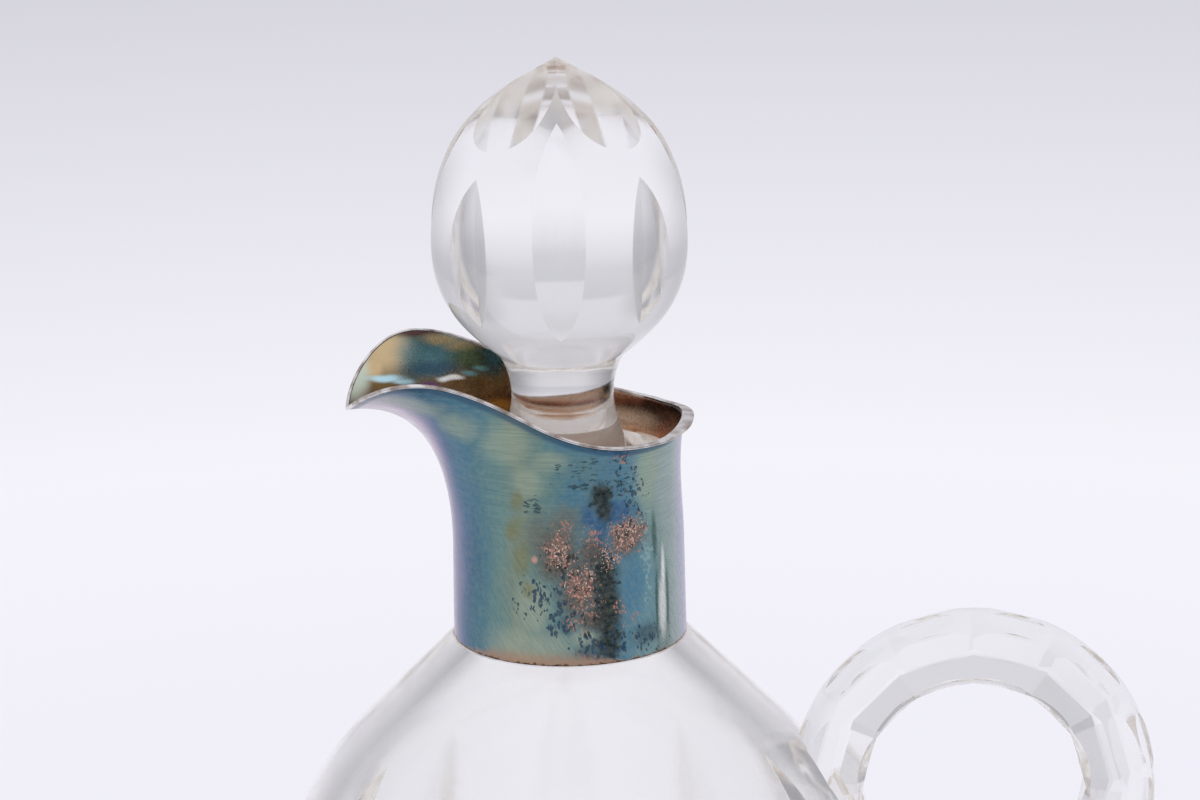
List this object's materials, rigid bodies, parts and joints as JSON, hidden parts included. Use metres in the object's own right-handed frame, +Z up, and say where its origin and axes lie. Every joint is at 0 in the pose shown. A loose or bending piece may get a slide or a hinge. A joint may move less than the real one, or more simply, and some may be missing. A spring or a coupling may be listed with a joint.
{
  "type": "claret jug",
  "caption": "Cut-glass claret jug with a globe body, applied loop handle, plated spout collar and a loose faceted ground stopper.",
  "frame": {"origin": "where the jug's axis meets the surface it stands on", "axes": "+Z up along the globe and collar, -X towards the spout, +X towards the loop handle"},
  "size_m": [0.1681, 0.1136, 0.2163],
  "materials": {
    "crystal": "polished cut lead crystal",
    "handle_crystal": "polished cut lead crystal",
    "stopper_crystal": "polished cut lead crystal, plug ground",
    "tarnished_plate": "silver-plated copper, tarnished blue and gold",
    "rim_silver": "rubbed silver",
    "plaster": "old plaster"
  },
  "bodies": {
    "jug": {"glass_body": "crystal", "loop_handle": "handle_crystal", "spout_collar": "tarnished_plate", "rim_wire": "rim_silver", "plaster_bed": "plaster"},
    "stopper": {"stopper": "stopper_crystal"}
  },
  "joints": [
    {"name": "stopper_lift", "type": "slide", "parent": "jug", "child": "stopper", "axis": [0, 0, 1], "range_m": [0, 0.055]}
  ]
}
